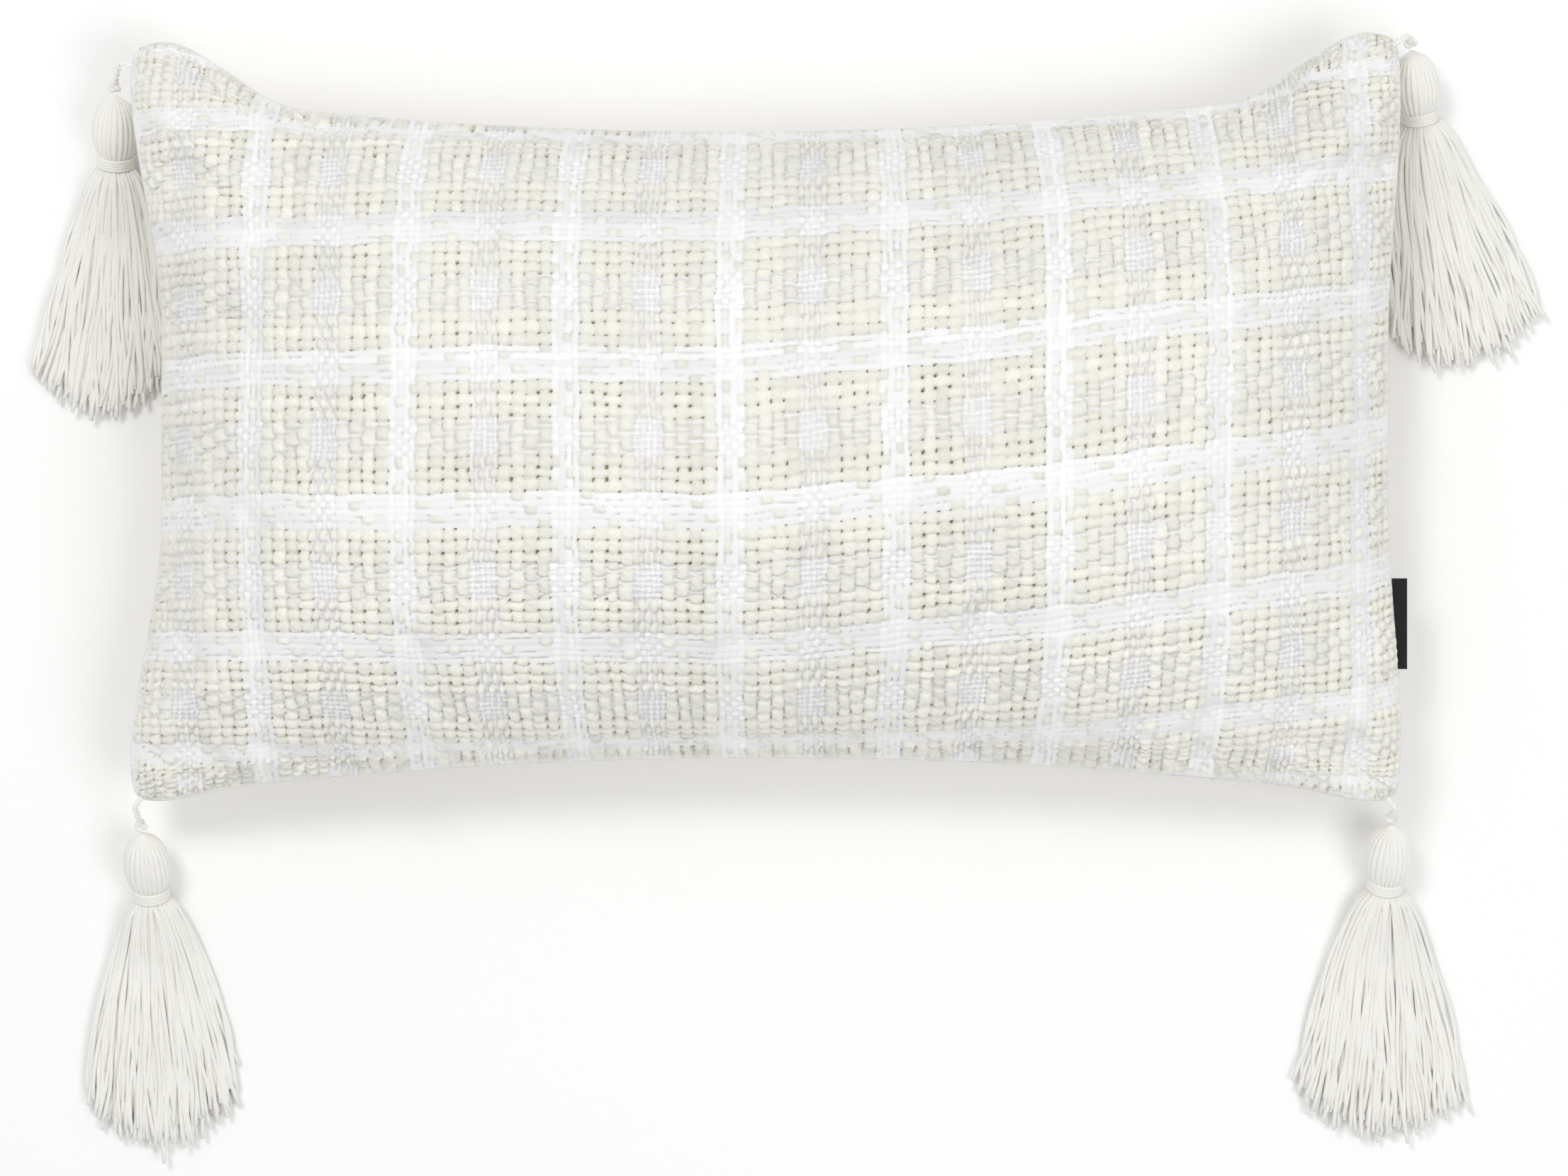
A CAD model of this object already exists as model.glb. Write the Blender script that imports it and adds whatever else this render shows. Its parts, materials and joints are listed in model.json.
import json
from math import cos, pi, radians, sin

import bmesh
import bpy
import numpy as np
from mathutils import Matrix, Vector


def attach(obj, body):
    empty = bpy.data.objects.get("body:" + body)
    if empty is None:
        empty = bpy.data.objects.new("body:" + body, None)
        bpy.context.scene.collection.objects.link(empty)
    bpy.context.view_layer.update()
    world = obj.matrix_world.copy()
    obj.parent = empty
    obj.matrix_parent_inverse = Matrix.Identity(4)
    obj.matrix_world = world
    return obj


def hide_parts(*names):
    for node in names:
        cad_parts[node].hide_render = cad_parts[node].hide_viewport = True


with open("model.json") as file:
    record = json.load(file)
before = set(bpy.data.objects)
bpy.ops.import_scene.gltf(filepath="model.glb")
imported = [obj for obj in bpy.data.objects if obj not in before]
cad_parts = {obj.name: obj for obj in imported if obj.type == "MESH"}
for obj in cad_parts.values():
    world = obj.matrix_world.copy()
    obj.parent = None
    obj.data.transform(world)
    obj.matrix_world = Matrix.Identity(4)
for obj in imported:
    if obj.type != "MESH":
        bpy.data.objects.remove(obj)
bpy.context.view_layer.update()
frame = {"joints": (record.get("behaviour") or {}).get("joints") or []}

MM = 0.001
CORNERS = ("top_left", "top_right", "bottom_left", "bottom_right")
JOINTS = {joint["name"]: joint for joint in frame["joints"]}

# ---------------------------------------------------------------- camera

SEAM_Z = 36.0  # mm above the floor
VIEW_WIDTH = 615.0  # mm across the frame at the seam
VIEW_CENTRE = (7.2, -66.6)  # mm, the place on the floor at the middle of the frame
LENS, SENSOR = 85.0, 36.0

camera_data = bpy.data.cameras.new("camera")
camera_data.lens = LENS
camera_data.sensor_width = SENSOR
camera_data.clip_start = 0.05
camera = bpy.data.objects.new("camera", camera_data)
camera.location = Vector((*VIEW_CENTRE, SEAM_Z + VIEW_WIDTH * LENS / SENSOR)) * MM
bpy.context.scene.collection.objects.link(camera)
bpy.context.scene.camera = camera

# ---------------------------------------------------------------- materials


def linear(hex_colour):
    """An sRGB hex colour as linear red, green, blue and alpha."""
    parts = [int(hex_colour[i : i + 2], 16) / 255 for i in (1, 3, 5)]
    return [c / 12.92 if c <= 0.04045 else ((c + 0.055) / 1.055) ** 2.4 for c in parts] + [1.0]


def add_node(tree, kind, settings=None, **inputs):
    """A node with its settings and its inputs, each a value or another node's output."""
    node = tree.nodes.new(kind)
    for name, value in (settings or {}).items():
        setattr(node, name, value)
    for name, value in inputs.items():
        socket = node.inputs[int(name[1:])] if name[0] == "i" and name[1:].isdigit() else node.inputs[name]
        if isinstance(value, bpy.types.NodeSocket):
            tree.links.new(value, socket)
        else:
            socket.default_value = value
    return node


SHEEN_ROUGHNESS, CLOTH_SPECULAR = 0.5, 0.25
SHADE_DRIFT_MM = 35.0  # size of the slow drifts in a cloth's tone
FIBRE_SHARE = 0.6  # of the tone that comes from fine fibre, against the slow drift
BUMP_STRENGTH = 0.8
EVEN = (1, 1, 1)


def cloth_material(name, colour, roughness, sheen, fibre_mm, fibre_depth_mm, stretch=EVEN, slub=0.06):
    """A textile whose tone drifts a little, with fine fibre as bump. colour is a hex or an attribute."""
    material = bpy.data.materials.new(name)
    material.use_nodes = True
    tree = material.node_tree
    shader = tree.nodes["Principled BSDF"]
    shader.inputs["Roughness"].default_value = roughness
    shader.inputs["Sheen Weight"].default_value = sheen
    shader.inputs["Sheen Roughness"].default_value = SHEEN_ROUGHNESS
    shader.inputs["Specular IOR Level"].default_value = CLOTH_SPECULAR
    where = add_node(tree, "ShaderNodeTexCoord").outputs["Object"]
    place = add_node(tree, "ShaderNodeMapping", i0=where, i3=stretch).outputs[0]
    fine = 1 / (fibre_mm * MM)
    fibre = add_node(tree, "ShaderNodeTexNoise", i0=place, Scale=fine, Detail=4.0, Roughness=0.65)
    drift = add_node(tree, "ShaderNodeTexNoise", i0=where, Scale=1 / (SHADE_DRIFT_MM * MM), Detail=2.0)
    both = add_node(
        tree,
        "ShaderNodeMath",
        {"operation": "MULTIPLY_ADD"},
        i0=fibre.outputs[0],
        i1=FIBRE_SHARE,
        i2=drift.outputs[0],
    )
    shade = add_node(
        tree, "ShaderNodeMapRange", i0=both.outputs[0], i1=0.5, i2=1.1, i3=1 - slub, i4=1 + slub * 0.4
    )
    if colour.startswith("#"):
        base = add_node(tree, "ShaderNodeRGB")
        base.outputs[0].default_value = linear(colour)
    else:
        base = add_node(tree, "ShaderNodeVertexColor", {"layer_name": colour})
    tint = add_node(tree, "ShaderNodeVectorMath", {"operation": "SCALE"}, i0=base.outputs[0])
    tree.links.new(shade.outputs[0], tint.inputs["Scale"])
    tree.links.new(tint.outputs[0], shader.inputs["Base Color"])
    bump = add_node(tree, "ShaderNodeBump", Distance=fibre_depth_mm * MM, Height=fibre.outputs[0])
    bump.inputs["Strength"].default_value = BUMP_STRENGTH
    tree.links.new(bump.outputs[0], shader.inputs["Normal"])
    return material


GLOSSIER, DULLER = 0.06, 0.08  # how far the roughness strays each way


def hard_material(name, colour, roughness, metallic, grain_mm, depth_mm):
    """Painted metal or moulded plastic: nearly smooth, with faint orange peel and uneven gloss."""
    material = bpy.data.materials.new(name)
    material.use_nodes = True
    tree = material.node_tree
    shader = tree.nodes["Principled BSDF"]
    shader.inputs["Metallic"].default_value = metallic
    where = add_node(tree, "ShaderNodeTexCoord").outputs["Object"]
    grain = add_node(tree, "ShaderNodeTexNoise", i0=where, Scale=1 / (grain_mm * MM), Detail=3.0)
    gloss = add_node(
        tree,
        "ShaderNodeMapRange",
        i0=grain.outputs[0],
        i1=0.3,
        i2=0.7,
        i3=roughness - GLOSSIER,
        i4=roughness + DULLER,
    )
    tree.links.new(gloss.outputs[0], shader.inputs["Roughness"])
    # The grain mixes white into the colour
    base = add_node(
        tree,
        "ShaderNodeMix",
        {"data_type": "RGBA"},
        i0=grain.outputs[0],
        i6=linear(colour),
        i7=linear("#FFFFFF"),
    )
    tree.links.new(base.outputs[2], shader.inputs["Base Color"])
    bump = add_node(tree, "ShaderNodeBump", Distance=depth_mm * MM, Height=grain.outputs[0])
    tree.links.new(bump.outputs[0], shader.inputs["Normal"])
    return material


# Woven cover: bulky cream wool-blend yarn with bleached cotton, matt, a soft halo of fibre
weave_material = cloth_material("woven_cream_and_white_yarn", "weave_colour", 0.92, 0.25, 0.8, 0.22)
# Back: plain-woven unbleached cotton, matt and even
back_material = cloth_material("plain_woven_cotton", "#E9E4D6", 0.9, 0.2, 0.7, 0.12)
# Tassel yarn: mercerised cotton, off-white, a little brighter along each strand
yarn_material = cloth_material("mercerised_cotton_yarn", "#F5F4EF", 0.8, 0.3, 0.45, 0.12, (1, 1, 1), 0.04)
# Pad ticking: bleached cotton, tight and smooth
ticking_material = cloth_material("cotton_ticking", "#F2F2EF", 0.85, 0.15, 0.5, 0.05)
# Polyester fibre fill: loose white wadding with deep soft fibre
wadding_material = cloth_material("polyester_wadding", "#F7F7F5", 0.95, 0.4, 3.0, 1.5)
# Label: black damask-woven polyester, fine ribs and a low sheen
label_material = cloth_material("black_damask_ribbon", "#0E0E0F", 0.55, 0.1, 0.35, 0.05, (1, 4, 1), 0.3)
# Zip tape: close-woven polyester twill
tape_material = cloth_material("zip_twill_tape", "#E6E1D2", 0.8, 0.1, 0.4, 0.05, (4, 1, 1))
# Coil: extruded polyester filament, satin
coil_material = hard_material("polyester_coil", "#E6E1D2", 0.38, 0.0, 0.6, 0.01)
# Slider: die-cast zinc with a baked cream paint
slider_material = hard_material("painted_zinc_casting", "#E0DAC9", 0.32, 0.0, 0.8, 0.012)

# ---------------------------------------------------------------- mesh helpers


WELD_MM = 0.002


def new_piece(name, points, faces, material, weld=True):
    """A mesh object at the origin from points in millimetres; weld joins the points that meet."""
    mesh = bpy.data.meshes.new(name)
    points = np.asarray(points, dtype=float) * MM
    faces = np.asarray(faces, dtype=np.int32)
    count, sides = faces.shape
    mesh.vertices.add(len(points))
    mesh.vertices.foreach_set("co", points.ravel())
    mesh.loops.add(faces.size)
    mesh.loops.foreach_set("vertex_index", faces.ravel())
    mesh.polygons.add(count)
    mesh.polygons.foreach_set("loop_start", np.arange(count, dtype=np.int32) * sides)
    mesh.update(calc_edges=True)
    if weld:
        shell = bmesh.new()
        shell.from_mesh(mesh)
        bmesh.ops.remove_doubles(shell, verts=shell.verts, dist=WELD_MM * MM)
        shell.to_mesh(mesh)
        shell.free()
    mesh.validate()
    mesh.polygons.foreach_set("use_smooth", [True] * len(mesh.polygons))
    mesh.materials.append(material)
    piece = bpy.data.objects.new(name, mesh)
    bpy.context.scene.collection.objects.link(piece)
    return piece


def grid_faces(rows, columns, around=False, flip=False):
    """Quads between neighbouring rows of points; around also joins the last column to the first."""
    row = np.arange(rows - 1)[:, None]
    column = np.arange(columns if around else columns - 1)[None, :]
    after = (column + 1) % columns
    a, b = row * columns + column, row * columns + after
    c, d = (row + 1) * columns + after, (row + 1) * columns + column
    order = (d, c, b, a) if flip else (a, b, c, d)
    return np.stack([corner.ravel() for corner in order], axis=1)


def tube(path, radius, sides):
    """Points and quads of a tube along a path, drawn to a point at each end."""
    path = np.asarray(path, dtype=float)
    along = np.gradient(path, axis=0)
    along /= np.linalg.norm(along, axis=1)[:, None] + 1e-9
    side = np.cross(along[0], (0.31, 0.17, 0.93))
    angle = np.arange(sides) * 2 * pi / sides
    rings = [np.tile(path[0] - along[0] * radius / 2, (sides, 1))]
    for point, way in zip(path, along):
        side = side - way * side.dot(way)
        side /= np.linalg.norm(side) + 1e-9
        other = np.cross(way, side)
        rings.append(point + radius * (np.cos(angle)[:, None] * side + np.sin(angle)[:, None] * other))
    rings.append(np.tile(path[-1] + along[-1] * radius / 2, (sides, 1)))
    return np.concatenate(rings), grid_faces(len(rings), sides, around=True)


def joined(parts):
    """Several (points, quads) as one."""
    points, faces, start = [], [], 0
    for p, f in parts:
        points.append(p)
        faces.append(f + start)
        start += len(p)
    return np.concatenate(points), np.concatenate(faces)


def soft_step(value, low, high):
    t = np.clip((value - low) / (high - low), 0, 1)
    return t * t * (3 - 2 * t)


# ---------------------------------------------------------------- cover

HALF_WIDTH, HALF_DEPTH = 250.0, 150.0  # the cover laid flat
CORNER_CUT = 3.5  # mm that each corner is rounded off, both ways
FRONT_RISE, BACK_DROP = 96.0, 44.0
FLOOR_GAP = 0.35  # the back cloth rests this high
TOP_MID_Y, TOP_SWELL, TOP_EAR, TOP_TILT = 112.5, 10.0, 28.0, 2.0  # the top edge
BOTTOM_MID_Y, BOTTOM_ARC, BOTTOM_EAR = -133.0, 1900.0, 3.0  # the bottom edge, on an arc
LEFT_MID_X, LEFT_EAR = -237.0, 12.5
RIGHT_MID_X, RIGHT_EAR = 244.3, 5.0
ROUND_U, ROUND_V = 34, 26  # how close to a corner the rounding starts
DOME_ROUND = (2.9, 2.2)  # across and along
DOME_FALL = (0.74, 0.66)
SEAM_DROOP = 3.0  # the seam hangs this much lower at the ears
SLUMP = 1.2  # how deep the creases are
ZIP_FROM, ZIP_TO, LIP = -204.0, 195.0, 3.7  # the cover's edges part this much each way over the zip
ZIP_FADE = 6.0


def outline(u, v):
    """Where the cover's point (u, v), each -1 to 1, comes to lie, seen from above, in millimetres."""
    reach = np.abs(u)
    top = TOP_MID_Y + TOP_SWELL * np.minimum(reach / 0.74, 1) ** 2 + TOP_EAR * soft_step(reach, 0.72, 0.96)
    top = top + TOP_TILT * u
    bottom = BOTTOM_MID_Y - (u * HALF_WIDTH) ** 2 / (2 * BOTTOM_ARC) - BOTTOM_EAR * soft_step(reach, 0.8, 0.96)
    height = np.abs(v)
    left = LEFT_MID_X - LEFT_EAR * soft_step(height, 0.25, 0.92)
    right = RIGHT_MID_X + RIGHT_EAR * soft_step(height, 0.2, 0.85)
    x = left + (right - left) * (u + 1) / 2
    y = bottom + (top - bottom) * (v + 1) / 2
    corner = reach**ROUND_U * height**ROUND_V
    return x - np.sign(u) * CORNER_CUT * corner, y - np.sign(v) * CORNER_CUT * corner


def dome(u, v):
    """How far the filling lifts the cloth, from 0 at the seam to 1 in the middle."""
    across = np.clip(1 - np.abs(u) ** DOME_ROUND[0], 0, 1) ** DOME_FALL[0]
    along = np.clip(1 - np.abs(v) ** DOME_ROUND[1], 0, 1) ** DOME_FALL[1]
    return across * along


def creases(u, v):
    """Shallow folds that run in from the seams and the ears, where the cloth is gathered."""
    near_side = soft_step(np.abs(u), 0.70, 0.97) * (1 - soft_step(np.abs(u), 0.97, 1.0))
    near_long = soft_step(np.abs(v), 0.62, 0.95) * (1 - soft_step(np.abs(v), 0.95, 1.0))
    ear = soft_step(np.abs(u) * np.abs(v), 0.35, 0.85)
    folds = near_long * (np.sin(u * 31 + 2 * np.sin(u * 7)) * 0.9 + np.sin(u * 53 + 1.3) * 0.4)
    folds = folds + near_side * (np.sin(v * 17 + 1.1) * 0.9 + np.sin(v * 29 + 0.4) * 0.4)
    return folds + ear * 2.2 * np.sin((np.abs(u) - np.abs(v) * 0.8) * 26)


def cut_grid(side, columns, rows):
    """Parameters and points of the front or the back of the cover before the filling pushes it out."""
    u, v = np.meshgrid(np.linspace(-1, 1, columns), np.linspace(-1, 1, rows))
    x, y = outline(u, v)
    lift = dome(u, v)
    over_zip = soft_step(x, ZIP_FROM, ZIP_FROM + ZIP_FADE) * (1 - soft_step(x, ZIP_TO - ZIP_FADE, ZIP_TO))
    lip = LIP * over_zip * soft_step(-v, 0.9, 1.0)
    seam_z = SEAM_Z - SEAM_DROOP * (np.abs(u) * np.abs(v)) ** 8
    slump = SLUMP * creases(u, v) * np.clip(lift * 6, 0, 1)
    if side == "front":
        z = seam_z + FRONT_RISE * lift + slump + lip
    else:
        z = np.maximum(seam_z - BACK_DROP * lift - slump * 0.5 - lip, FLOOR_GAP)
    return u, v, x, y, z


SIM_COLUMNS, SIM_ROWS = 81, 49
SIM_FRAMES = 20
SIM_PIN = 0.985  # the seam is held beyond this share of the way out
SIM_CAP = (2.0, 2.0, 5.0)  # mm that any point may move


def pushed_out():
    """How far the filling's pressure moves each side of the cover, in mm, by cloth simulation."""
    grids = [cut_grid(side, SIM_COLUMNS, SIM_ROWS) for side in ("front", "back")]
    shells = [
        (np.stack(grid[2:], axis=2).reshape(-1, 3), grid_faces(SIM_ROWS, SIM_COLUMNS, flip=index == 1))
        for index, grid in enumerate(grids)
    ]
    points, faces = joined(shells)
    held = np.concatenate([np.maximum(np.abs(grid[0]), np.abs(grid[1])).ravel() for grid in grids]) > SIM_PIN
    held |= points[:, 2] < 0.5
    trial = new_piece("cover_trial", points, faces, back_material, weld=False)
    trial.vertex_groups.new(name="held").add([int(index) for index in np.flatnonzero(held)], 1.0, "REPLACE")
    cloth = trial.modifiers.new("cloth", "CLOTH")
    cloth.settings.quality = 6
    cloth.settings.mass = 0.3
    cloth.settings.bending_stiffness = 0.6
    cloth.settings.shrink_min = -0.015
    cloth.settings.use_pressure = True
    cloth.settings.uniform_pressure_force = 4
    cloth.settings.vertex_group_mass = "held"
    cloth.settings.effector_weights.gravity = 0
    cloth.collision_settings.use_collision = False
    cloth.point_cache.frame_start, cloth.point_cache.frame_end = 1, SIM_FRAMES
    for frame_number in range(1, SIM_FRAMES + 1):
        bpy.context.scene.frame_set(frame_number)
    result = trial.evaluated_get(bpy.context.evaluated_depsgraph_get()).data
    after = np.empty(len(points) * 3)
    result.vertices.foreach_get("co", after)
    moved = np.clip(after.reshape(-1, 3) / MM - points, -np.array(SIM_CAP), SIM_CAP)
    bpy.data.objects.remove(trial)
    bpy.context.scene.frame_set(1)
    front_moved, back_moved = moved.reshape(2, SIM_ROWS, SIM_COLUMNS, 3)
    return {"front": front_moved, "back": back_moved}


PUSHED = pushed_out()


def cubic_weights(count, knots):
    """A matrix that takes values at evenly spaced knots to more points on one smooth curve."""
    place = np.linspace(0, knots - 1, count)
    first = np.clip(np.floor(place).astype(int), 0, knots - 2)
    t = place - first
    shares = (
        (-t + 2 * t**2 - t**3) / 2,
        (2 - 5 * t**2 + 3 * t**3) / 2,
        (t + 4 * t**2 - 3 * t**3) / 2,
        (t**3 - t**2) / 2,
    )
    weights = np.zeros((count, knots))
    for step, share in enumerate(shares):
        np.add.at(weights, (np.arange(count), np.clip(first + step - 1, 0, knots - 1)), share)
    return weights


def cover_grid(side, columns, rows):
    """Parameters and surface points of the front or the back of the filled cover."""
    u, v, x, y, z = cut_grid(side, columns, rows)
    moved = np.einsum(
        "rk,kmc,nm->rnc", cubic_weights(rows, SIM_ROWS), PUSHED[side], cubic_weights(columns, SIM_COLUMNS)
    )
    z = z + moved[..., 2]
    if side == "back":
        z = np.maximum(z, FLOOR_GAP)
    return u, v, x + moved[..., 0], y + moved[..., 1], z


# Weave. Each group of threads across: pitch in mm, how many, kind. Kinds: bulky cream, fine, white
CREAM, FINE, WHITE = 0, 1, 2
WARP_GROUPS = [(5.0, 4, CREAM), (2.06, 5, FINE), (5.0, 4, CREAM), (2.575, 4, WHITE)]
WEFT_GROUPS = [(4.5, 3, CREAM), (2.3, 6, FINE), (4.5, 3, CREAM), (2.64, 5, WHITE)]
WARP_FILL = np.array([0.88, 0.5, 1.0])  # thread width over pitch, by kind
WEFT_FILL = np.array([0.78, 0.5, 1.0])
THREAD_RISE = np.array([1.25, 0.4, 0.5])  # mm
TWIST_MM = 3.6  # from one ply groove to the next along a bulky yarn
WARP_PHASE = -194.3 + 2.575 * 2  # right edge of one white stripe
WEFT_PHASE = 2.5 + 2.64 * 2.5  # top edge of one white stripe
CREAM_COLOUR = linear("#F2F1E8")[:3]
WHITE_COLOUR = linear("#FAFBFA")[:3]
FINE_COLOUR = linear("#F8F7F7")[:3]
HOLE_COLOUR = linear("#A8946C")[:3]  # the darker ground seen between two cream threads
GAUZE_COLOUR = linear("#E9E7E6")[:3]  # and between the others


DRAWN_UP, DRAWN_FROM, DRAWN_RUN, DRAWN_POWER = 16.0, -20.0, 161.0, 1.4  # the bands climb to the right
FORESHORTEN, FORESHORTEN_AT = 6.0, 104.0  # mm more cloth towards the long edges, as seen from above
# Waver of the threads: depth in mm, then the length of a wave along and across the thread
WARP_WAVER = ((0.5, 23, 61), (0.32, 5.1, 3.3), (0.16, 2.3, 8))
WEFT_WAVER = ((0.5, 19, 70), (0.32, 5.7, 3.1), (0.16, 2.6, 7))
THREADS_DRAWN = 4001  # more than there are, so each thread has its own slub and tone
SLUB, TONE = 0.07, 0.03  # spread of thread width and of thread tone
GROOVE_DEPTH = 0.3  # between the plies, as a share of the yarn
BODY, OVER = 0.95, 0.7  # shares of the rise from the yarn's roundness and from riding over
NO_THREAD = -1.6
DEEP, SHALLOW = -0.9, -0.3  # mm, the ground between cream threads and between the others


def waver(along, across, waves):
    return sum(depth * np.sin(along / first + across / second) for depth, first, second in waves)


def threads(groups, position):
    """For each position in mm: the thread's number, its kind, the offset from its middle (-1 to 1)."""
    edges, kinds = [0.0], []
    for pitch, count, kind in groups:
        for _ in range(count):
            edges.append(edges[-1] + pitch)
            kinds.append(kind)
    edges, kinds = np.array(edges), np.array(kinds)
    repeat = np.floor(position / edges[-1])
    inside = position - repeat * edges[-1]
    index = np.clip(np.searchsorted(edges, inside, side="right") - 1, 0, len(kinds) - 1)
    middle = (edges[index] + edges[index + 1]) / 2
    half = (edges[index + 1] - edges[index]) / 2
    number = (repeat * len(kinds) + index).astype(int)
    return number, kinds[index], (inside - middle) / half


def warp_shows(i, j, warp_kind, weft_kind):
    """Whether warp thread i lies over weft thread j, which depends on what meets."""
    plain = (i + j) % 2 == 0
    stepped = (i + j) % 3
    shows = plain
    shows = np.where((warp_kind == CREAM) & (weft_kind == WHITE), (i * 3 + j * 2) % 7 < 1, shows)
    shows = np.where((warp_kind == WHITE) & (weft_kind == CREAM), (i + j * 2) % 4 != 0, shows)
    shows = np.where((warp_kind == CREAM) & (weft_kind == FINE), stepped != 0, shows)
    return shows


def crimp(i, j, offset, warp_kind, weft_kind, step_warp):
    """How high the warp rides at this place, -1 to 1, eased towards the neighbouring crossing."""
    here = np.where(warp_shows(i, j, warp_kind, weft_kind), 1.0, -1.0)
    way = np.where(offset > 0, 1, -1)
    if step_warp:
        beside = np.where(warp_shows(i, j + way, warp_kind, weft_kind), 1.0, -1.0)
    else:
        beside = np.where(warp_shows(i + way, j, warp_kind, weft_kind), 1.0, -1.0)
    share = soft_step(np.abs(offset), 0.35, 1.65)
    return here + (beside - here) * share


SIDE_DROP, END_DROP = 14.0, 9.0  # mm of cloth more than seen from above, where the sides fall away


def weave(u, v, x, y):
    """Relief in mm and linear colour of the cover's weave at points of the cover."""
    rng = np.random.default_rng(7)
    x = x + np.sign(u) * END_DROP * np.clip((np.abs(u) - 0.95) / 0.05, 0, 1) ** 1.5
    y = y + np.sign(v) * SIDE_DROP * np.clip((np.abs(v) - 0.9) / 0.1, 0, 1) ** 1.5
    drawn_up = DRAWN_UP * (np.clip(x - DRAWN_FROM, 0, None) / DRAWN_RUN) ** DRAWN_POWER
    flat_y = y + FORESHORTEN * np.sign(y) * (np.abs(y) / FORESHORTEN_AT) ** 4
    i, warp_kind, warp_off = threads(WARP_GROUPS, x - WARP_PHASE + waver(y, x, WARP_WAVER))
    down = WEFT_PHASE - (flat_y - drawn_up) + waver(x, y, WEFT_WAVER)
    j, weft_kind, weft_off = threads(WEFT_GROUPS, down)
    warp_up = crimp(i, j, weft_off, warp_kind, weft_kind, True)
    weft_up = -crimp(i, j, warp_off, warp_kind, weft_kind, False)

    slub = 1 + SLUB * rng.standard_normal(THREADS_DRAWN)

    def profile(offset, fill, kind, number, along):
        thick_and_thin = 1 + SLUB * np.sin(along / 3.7 + number * 2.1)
        width = fill[kind] * slub[number + THREADS_DRAWN // 2] * thick_and_thin
        body = np.sqrt(np.clip(1 - (offset / width) ** 2, 0, 1))
        # The plies wind round each other
        twist = np.cos(2 * pi * (along / TWIST_MM + 0.5 * offset) + number * 2.3)
        groove = np.where(kind == CREAM, GROOVE_DEPTH * np.clip(twist, 0, 1) ** 2, 0)
        return body - groove, np.abs(offset) < width

    warp_body, warp_there = profile(warp_off, WARP_FILL, warp_kind, i, y)
    weft_body, weft_there = profile(weft_off, WEFT_FILL, weft_kind, j, x)
    warp_z = np.where(warp_there, THREAD_RISE[warp_kind] * (warp_body * BODY + OVER * warp_up), NO_THREAD)
    weft_z = np.where(weft_there, THREAD_RISE[weft_kind] * (weft_body * BODY + OVER * weft_up), NO_THREAD)
    both_cream = (warp_kind == CREAM) & (weft_kind == CREAM)
    relief = np.maximum(np.maximum(warp_z, weft_z), np.where(both_cream, DEEP, SHALLOW))
    colours = np.array([CREAM_COLOUR, FINE_COLOUR, WHITE_COLOUR])
    tone_warp = 1 + TONE * rng.standard_normal(THREADS_DRAWN)[i + THREADS_DRAWN // 2]
    tone_weft = 1 + TONE * rng.standard_normal(THREADS_DRAWN)[j + THREADS_DRAWN // 2]
    warp_colour = colours[warp_kind] * tone_warp[..., None]
    weft_colour = colours[weft_kind] * tone_weft[..., None]
    colour = np.where((warp_z >= weft_z)[..., None], warp_colour, weft_colour)
    top = np.maximum(THREAD_RISE[warp_kind], THREAD_RISE[weft_kind]) * 1.6
    # Shade between the yarns
    colour = colour * (0.88 + 0.12 * soft_step(relief / top, -0.3, 0.95))[..., None]
    open_hole = soft_step(-relief, 0.1, np.where(both_cream, 0.7, 0.3))[..., None]
    ground = np.where(both_cream[..., None], np.array(HOLE_COLOUR), np.array(GAUZE_COLOUR))
    colour = colour * (1 - open_hole) + ground * open_hole
    return relief, np.clip(colour, 0, 1)


def surface_normals(x, y, z):
    """Unit normals of a grid of points, pointing up."""
    grid = np.stack([x, y, z], axis=2)
    normal = np.cross(np.gradient(grid, axis=1), np.gradient(grid, axis=0))
    return normal / (np.linalg.norm(normal, axis=2)[..., None] + 1e-9)


HEM, HEM_LIFT = 5.0, 0.5  # mm that the edge turns in, and that it leaves the seam
MIDDLE = np.array([0.0, -10.0, 0.0])
EDGE_FADE = 3.0  # mm from the seam over which the relief dies away
RELIEF_SINK = 0.3


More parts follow.
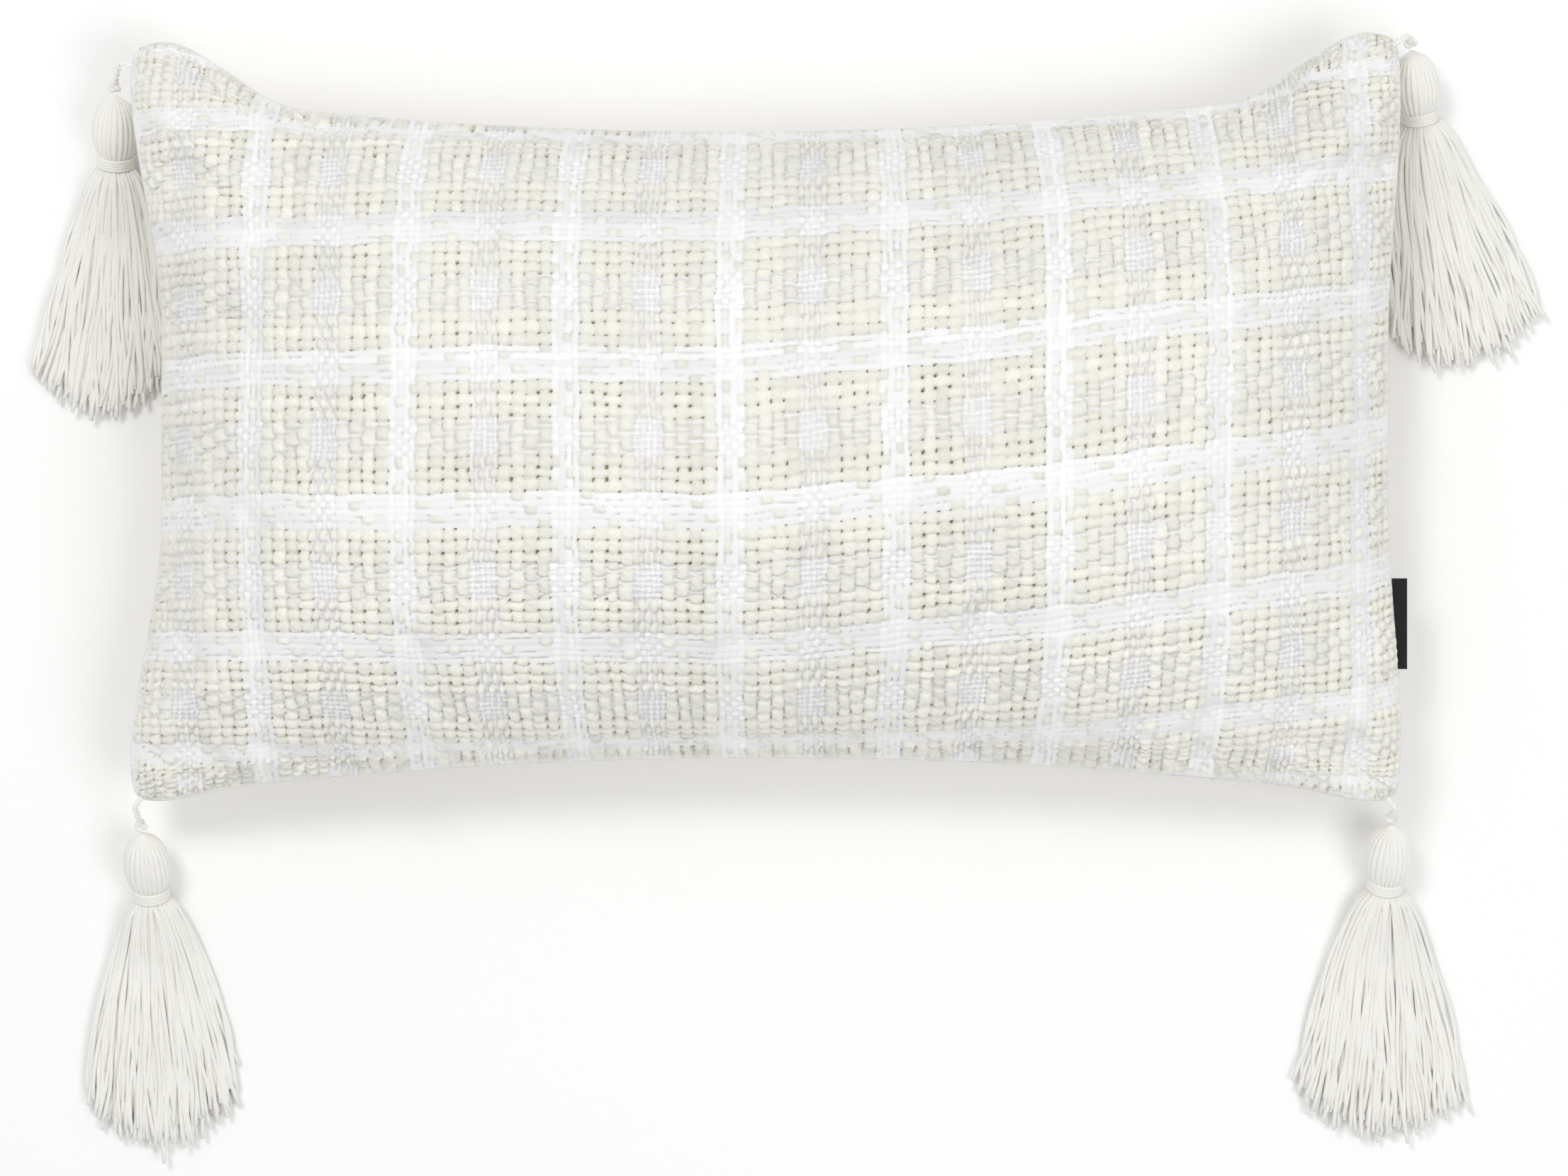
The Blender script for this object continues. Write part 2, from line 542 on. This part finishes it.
def cover_piece(name, side, columns, rows, material, woven):
    """One panel of the cover with its hem, and on the front the woven relief."""
    u, v, x, y, z = cover_grid(side, columns, rows)
    normal = surface_normals(x, y, z) * (1 if side == "front" else -1)
    if woven:
        relief, colour = weave(u, v, x, y)
        edge_u, edge_v = (1 - np.abs(u)) * HALF_WIDTH, (1 - np.abs(v)) * HALF_DEPTH
        fade = soft_step(np.minimum(edge_u, edge_v), 0, EDGE_FADE)
        points = np.stack([x, y, z], axis=2) + normal * ((relief - RELIEF_SINK) * fade)[..., None]
    else:
        points = np.stack([x, y, z], axis=2)
    faces = grid_faces(rows, columns, flip=side == "back")
    border = np.concatenate(
        [
            np.arange(columns - 1),
            np.arange(rows - 1) * columns + columns - 1,
            np.arange(rows * columns - 1, (rows - 1) * columns, -1),
            np.arange((rows - 1) * columns, 0, -columns),
        ]
    )
    ring = points.reshape(-1, 3)[border]
    inward = MIDDLE - ring
    inward[:, 2] = 0
    inward /= np.linalg.norm(inward, axis=1)[:, None]
    towards = -HEM_LIFT if side == "front" else HEM_LIFT
    hem = ring + inward * HEM + np.array([0, 0, towards])
    total = points.reshape(-1, 3)
    start, count = len(total), len(ring)
    step = np.arange(count)
    after = (step + 1) % count
    hem_faces = np.stack([border[after], border[step], start + step, start + after], axis=1)
    if side == "back":
        hem_faces = hem_faces[:, ::-1]
    points, faces = np.concatenate([total, hem]), np.concatenate([faces, hem_faces])
    piece = new_piece(name, points, faces, material, weld=False)
    if woven:
        layer = piece.data.color_attributes.new("weave_colour", "FLOAT_COLOR", "POINT")
        shades = np.ones((start + count, 4))
        shades[:start, :3] = colour.reshape(-1, 3)
        shades[start:, :3] = CREAM_COLOUR
        layer.data.foreach_set("color", shades.ravel())
    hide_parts(f"{side}_panel")
    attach(piece, "pillow")
    return piece


WEAVE_STEP = 0.6  # mm between points of the woven front
front = cover_piece(
    "woven_front_panel",
    "front",
    int(2 * HALF_WIDTH / WEAVE_STEP),
    int(2 * HALF_DEPTH / WEAVE_STEP),
    weave_material,
    True,
)
back = cover_piece("plain_back_panel", "back", 201, 121, back_material, False)

# ---------------------------------------------------------------- insert pad


PAD_COLUMNS, PAD_ROWS = 61, 37
PAD_DRAWN_IN = 2.2  # the pad is drawn in this many times more to the sides than in thickness
PAD_HALF_HEIGHT = 60.0
TICKING_THICK = 0.5


def pad_layer(name, side, shrink, node, material):
    """One cloth of the insert, or with side both its filling, as a smaller copy of the cover's shape."""
    shells = []
    for half in ("front", "back") if side == "both" else (side,):
        x, y, z = cover_grid(half, PAD_COLUMNS, PAD_ROWS)[2:]
        drawn_in = PAD_DRAWN_IN * shrink
        points = np.stack(
            [
                x * (1 - drawn_in / HALF_WIDTH),
                y * (1 - drawn_in / HALF_DEPTH),
                SEAM_Z + (z - SEAM_Z) * (1 - shrink / PAD_HALF_HEIGHT),
            ],
            axis=2,
        )
        shells.append((points.reshape(-1, 3), grid_faces(PAD_ROWS, PAD_COLUMNS, flip=half == "back")))
    points, faces = joined(shells)
    piece = new_piece(name, points, faces, material)
    if side != "both":
        bpy.context.view_layer.objects.active = piece
        wall = piece.modifiers.new("wall", "SOLIDIFY")
        wall.thickness = TICKING_THICK * MM
        wall.offset = -1
        bpy.ops.object.modifier_apply(modifier="wall")
    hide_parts(node)
    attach(piece, "pillow")


pad_layer("ticking_front", "front", 3.0, "insert_front", ticking_material)
pad_layer("ticking_back", "back", 3.0, "insert_back", ticking_material)
pad_layer("wadding", "both", 5.0, "fibre_fill", wadding_material)

# ---------------------------------------------------------------- tassels

STRANDS, STRAND_R = 310, 0.86
HEAD_RIDGES = 24
RIDGE_DEPTH = 0.95
SLOPE = radians(29.3)  # how steeply the head points down
PLY_R, PLY_OFF = 0.68, 0.62
KNOT_SIZE, KNOT_YARN_R = 0.62, 1.05
HEAD_ALONG = [3.4, 3.9, 4.5, 5.2, 6.2, 8.0, 10.5, 14.0, 17.0, 20.0, 23.0, 26.0, 28.0, 29.6]
HEAD_R = [0.2, 1.3, 1.9, 2.9, 4.4, 6.4, 7.9, 8.9, 9.3, 9.3, 9.0, 8.2, 7.4, 6.6]
BINDING_TURNS, BINDING_START, BINDING_PITCH = 4, 29.4, 1.125
BINDING_R, BINDING_YARN_R, NECK_R = 6.75, 0.78, 6.3
SKIRT_START, SKIRT_ROOT_R = 33.6, 6.0
SKIRT_LENGTH, SKIRT_UNEVEN, SKIRT_CURVE = 94, 3.2, 10  # mm: mean, spread, and how much shorter at the sides
GOLDEN_TURN = 2.399963  # radians, which spaces the strands evenly over the root
HALF_WIDTHS = {"top_left": 28.5, "top_right": 30.5, "bottom_left": 32.0, "bottom_right": 35.5}
CURLED = {9: 1, 23: -1}  # two strands loop back, one to each side


EDGE = np.linspace(-1, 1, 801)
EDGE_ONE = np.ones_like(EDGE)
SEAM_LINE = np.concatenate(
    [
        np.stack(outline(across, along), axis=1)
        for across, along in ((EDGE, EDGE_ONE), (EDGE, -EDGE_ONE), (EDGE_ONE, EDGE), (-EDGE_ONE, EDGE))
    ]
)
CORD_SEWN = 0.994  # the cord's end lies this much nearer the middle than the seam


def unit(vector):
    return vector / np.linalg.norm(vector)


def tassel(corner, seed, curl, drift):
    """The cord, knot, head, binding and skirt that hang at one corner, drifted a little off the joint."""
    rng = np.random.default_rng(seed)
    start = np.array(JOINTS[f"swing_{corner}"]["pos_m"]) / MM
    knot = np.array(JOINTS[f"lift_{corner}"]["pos_m"]) / MM + np.array([*drift, 0.0])
    aside = np.array(JOINTS[f"lift_{corner}"]["axis"], dtype=float)
    out = np.array([-aside[1], aside[0], 0.0])
    down = out * cos(SLOPE) - np.array([0, 0, sin(SLOPE)])
    up = np.cross(aside, down)
    up = up if up[2] > 0 else -up

    def place(name, shape, node, body):
        piece = new_piece(name, shape[0], shape[1], yarn_material)
        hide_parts(node)
        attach(piece, body)
        return piece

    # Hanging cord: two plies twisted together, its end sewn into the nearest place on the seam
    seam_xy = SEAM_LINE[np.argmin(np.hypot(*(SEAM_LINE - start[:2]).T))]
    sewn = np.array([*(seam_xy * CORD_SEWN), start[2]])
    to_start, to_knot = np.linalg.norm(start - sewn), np.linalg.norm(knot - start)
    steps = np.linspace(0, 1, 40)[:, None]
    run = steps[:, 0] * (to_start + to_knot)
    core = np.stack(
        [np.interp(run, [0, to_start, to_start + to_knot], ends) for ends in zip(sewn, start, knot)], axis=1
    )
    first, second = unit(np.cross(knot - start, aside)), aside
    plies = []
    for ply in (0, pi):
        angle = steps[:, 0] * 7 * pi + ply
        twist = np.cos(angle)[:, None] * first + np.sin(angle)[:, None] * second
        plies.append(tube(core + twist * PLY_OFF, PLY_R, 8))
    place(f"twisted_cord_{corner}", joined(plies), f"cord_{corner}", f"hanger_{corner}")

    # Knot: an overhand knot drawn tight
    turn = np.linspace(0, 2 * pi, 90)
    trefoil = (
        (np.sin(turn) + 2 * np.sin(2 * turn))[:, None] * aside
        + (np.cos(turn) - 2 * np.cos(2 * turn))[:, None] * down
        - np.sin(3 * turn)[:, None] * up
    )
    loop = knot + trefoil * KNOT_SIZE
    place(f"overhand_knot_{corner}", tube(loop, KNOT_YARN_R, 8), f"knot_{corner}", f"hanger_{corner}")

    # Head: yarn folded over the cord, so it is ridged from its top to the binding
    fine = np.linspace(HEAD_ALONG[0], HEAD_ALONG[-1], 46)
    radius = np.concatenate([[0], np.interp(fine, HEAD_ALONG, HEAD_R), [0]])
    fine = np.concatenate([fine[:1], fine, fine[-1:]])
    around = np.linspace(0, 2 * pi, HEAD_RIDGES * 8, endpoint=False)
    wobble = 0.25 * np.sin(around * 3 + seed) + 0.2 * np.sin(around * 7 + 2 * seed)
    ridge = np.abs(np.cos(around[None, :] * HEAD_RIDGES / 2 + 0.05 * fine[:, None] + wobble[None, :]))
    depth = RIDGE_DEPTH * soft_step(radius, 1.2, 6)[:, None]
    rim = radius[:, None] - depth + depth * ridge**0.6
    centre = knot + down * fine[:, None]
    ball = (
        centre[:, None, :]
        + rim[..., None] * np.cos(around)[None, :, None] * aside
        + rim[..., None] * np.sin(around)[None, :, None] * up
    )
    head = (ball.reshape(-1, 3), grid_faces(len(fine), len(around), around=True))
    place(f"folded_yarn_head_{corner}", head, f"head_{corner}", f"tassel_{corner}")

    # Binding: yarn wound round the neck
    angle = np.linspace(0, 2 * pi * BINDING_TURNS, 46 * BINDING_TURNS)
    climb = BINDING_START + BINDING_PITCH * angle / (2 * pi)
    around_neck = np.cos(angle)[:, None] * aside + np.sin(angle)[:, None] * up
    coil = knot + down * climb[:, None] + BINDING_R * around_neck
    inner = knot + down * np.linspace(28.6, 34.6, 8)[:, None]
    wound = joined([tube(coil, BINDING_YARN_R, 8), tube(inner, NECK_R, 24)])
    place(f"wound_binding_{corner}", wound, f"binding_{corner}", f"tassel_{corner}")

    # Skirt: loose strands that fan out over the floor
    half_width = HALF_WIDTHS[corner]
    root = knot + down * SKIRT_START
    strands = []
    for number in range(STRANDS):
        ring = SKIRT_ROOT_R * np.sqrt((number + 0.5) / STRANDS)
        angle = number * GOLDEN_TURN
        across, above = ring * cos(angle), ring * sin(angle)
        begin = root + aside * across + up * above
        spread = np.clip(across / SKIRT_ROOT_R + 0.12 * rng.standard_normal(), -1.06, 1.06)
        length = SKIRT_LENGTH + SKIRT_UNEVEN * rng.standard_normal() - SKIRT_CURVE * spread**2
        t = np.linspace(0, 1, 16)
        side = across + (spread * half_width - across) * t**0.62 * (length / 91)
        side = side + 1.9 * np.sin(t * rng.uniform(4, 10) + rng.uniform(0, 6)) * t
        layer = 0.9 + (above / SKIRT_ROOT_R + 1) * 2.6  # how high it lies over the floor
        z = begin[2] + (layer - begin[2]) * soft_step(t, 0.0, 0.34)
        z = z + 0.7 * np.sin(t * rng.uniform(4, 9) + rng.uniform(0, 6)) * t
        forward = t * length * (1 - 0.06 * spread**2)
        if curl and number in CURLED:
            side = side + 9 * np.sin(t * pi * 1.9) * soft_step(t, 0.5, 1) * CURLED[number]
            forward = forward - 16 * soft_step(t, 0.8, 1)
        path = begin[None, :] + out * forward[:, None] + aside * (side - across)[:, None]
        path[:, 2] = np.maximum(z, STRAND_R + 0.15)
        strands.append(tube(path, STRAND_R, 5))
    place(f"strand_skirt_{corner}", joined(strands), f"skirt_{corner}", f"tassel_{corner}")


DRIFT = {
    "top_left": (-3.4, 0.0),
    "top_right": (2.6, 2.6),
    "bottom_left": (0.0, 0.0),
    "bottom_right": (0.0, 0.0),
}
for number, corner in enumerate(CORNERS):
    tassel(corner, 11 + number, corner == "bottom_left", DRIFT[corner])

# ---------------------------------------------------------------- zip and label


COIL_TURNS, COIL_END_X = 240, 186.5
COIL_IN, COIL_SWING = 4.1, 0.75  # mm in from the edge
COIL_MID_Z, COIL_RISE = 0.72, 0.5
FILAMENT_R = 0.22


def zip_coil(name, side, node):
    """One half of the coil: a filament wound in a flattened helix along the bottom edge."""
    angle = np.linspace(0, 2 * pi * COIL_TURNS, COIL_TURNS * 8)
    turn = np.linspace(-COIL_END_X, COIL_END_X, len(angle)) / BOTTOM_ARC
    radial = BOTTOM_ARC + COIL_IN + COIL_SWING * np.cos(angle)
    z = SEAM_Z + side * (COIL_MID_Z + COIL_RISE * np.sin(angle))
    centre_y = BOTTOM_MID_Y - BOTTOM_ARC
    path = np.stack([radial * np.sin(turn), centre_y + radial * np.cos(turn), z], axis=1)
    piece = new_piece(name, *tube(path, FILAMENT_R, 5), coil_material)
    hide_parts(node)
    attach(piece, "pillow")


zip_coil("coil_filament_front", 1, "zip_coil_front")
zip_coil("coil_filament_back", -1, "zip_coil_back")


def finish_node(node, material):
    """The CAD node stays, in its real material."""
    ob = bpy.data.objects[node]
    ob.data.materials.clear()
    ob.data.materials.append(material)


for node, material in (
    ("zip_tape_front", tape_material),
    ("zip_tape_back", tape_material),
    ("zip_top_stop", coil_material),
    ("zip_bottom_stop", coil_material),
    ("zip_slider", slider_material),
    ("zip_pull", slider_material),
    ("side_label", label_material),
):
    finish_node(node, material)

# ---------------------------------------------------------------- stage

bpy.ops.object.select_all(action="DESELECT")
bpy.ops.mesh.primitive_plane_add(size=8, location=(0, 0, 0))
floor = bpy.context.object
floor.name = "floor"
floor_material = bpy.data.materials.new("matt_white_board")
floor_material.use_nodes = True
floor_shader = floor_material.node_tree.nodes["Principled BSDF"]
floor_shader.inputs["Base Color"].default_value = linear("#FDFDFD")
floor_shader.inputs["Roughness"].default_value = 0.9
floor.data.materials.append(floor_material)

world = bpy.data.worlds.new("studio")
world.use_nodes = True
world.node_tree.nodes["Background"].inputs["Color"].default_value = (1, 1, 1, 1)
world.node_tree.nodes["Background"].inputs["Strength"].default_value = 0.61
bpy.context.scene.world = world


def softbox(name, place, size, power):
    light = bpy.data.lights.new(name, "AREA")
    light.size = size
    light.energy = power
    lamp = bpy.data.objects.new(name, light)
    lamp.location = place
    lamp.rotation_euler = (-Vector(place)).to_track_quat("-Z", "Y").to_euler()
    bpy.context.scene.collection.objects.link(lamp)


softbox("key", (-0.7, 0.8, 1.9), 0.6, 13)
softbox("fill", (1.0, -0.5, 1.8), 1.0, 10)
bpy.context.scene.view_settings.view_transform = "Standard"
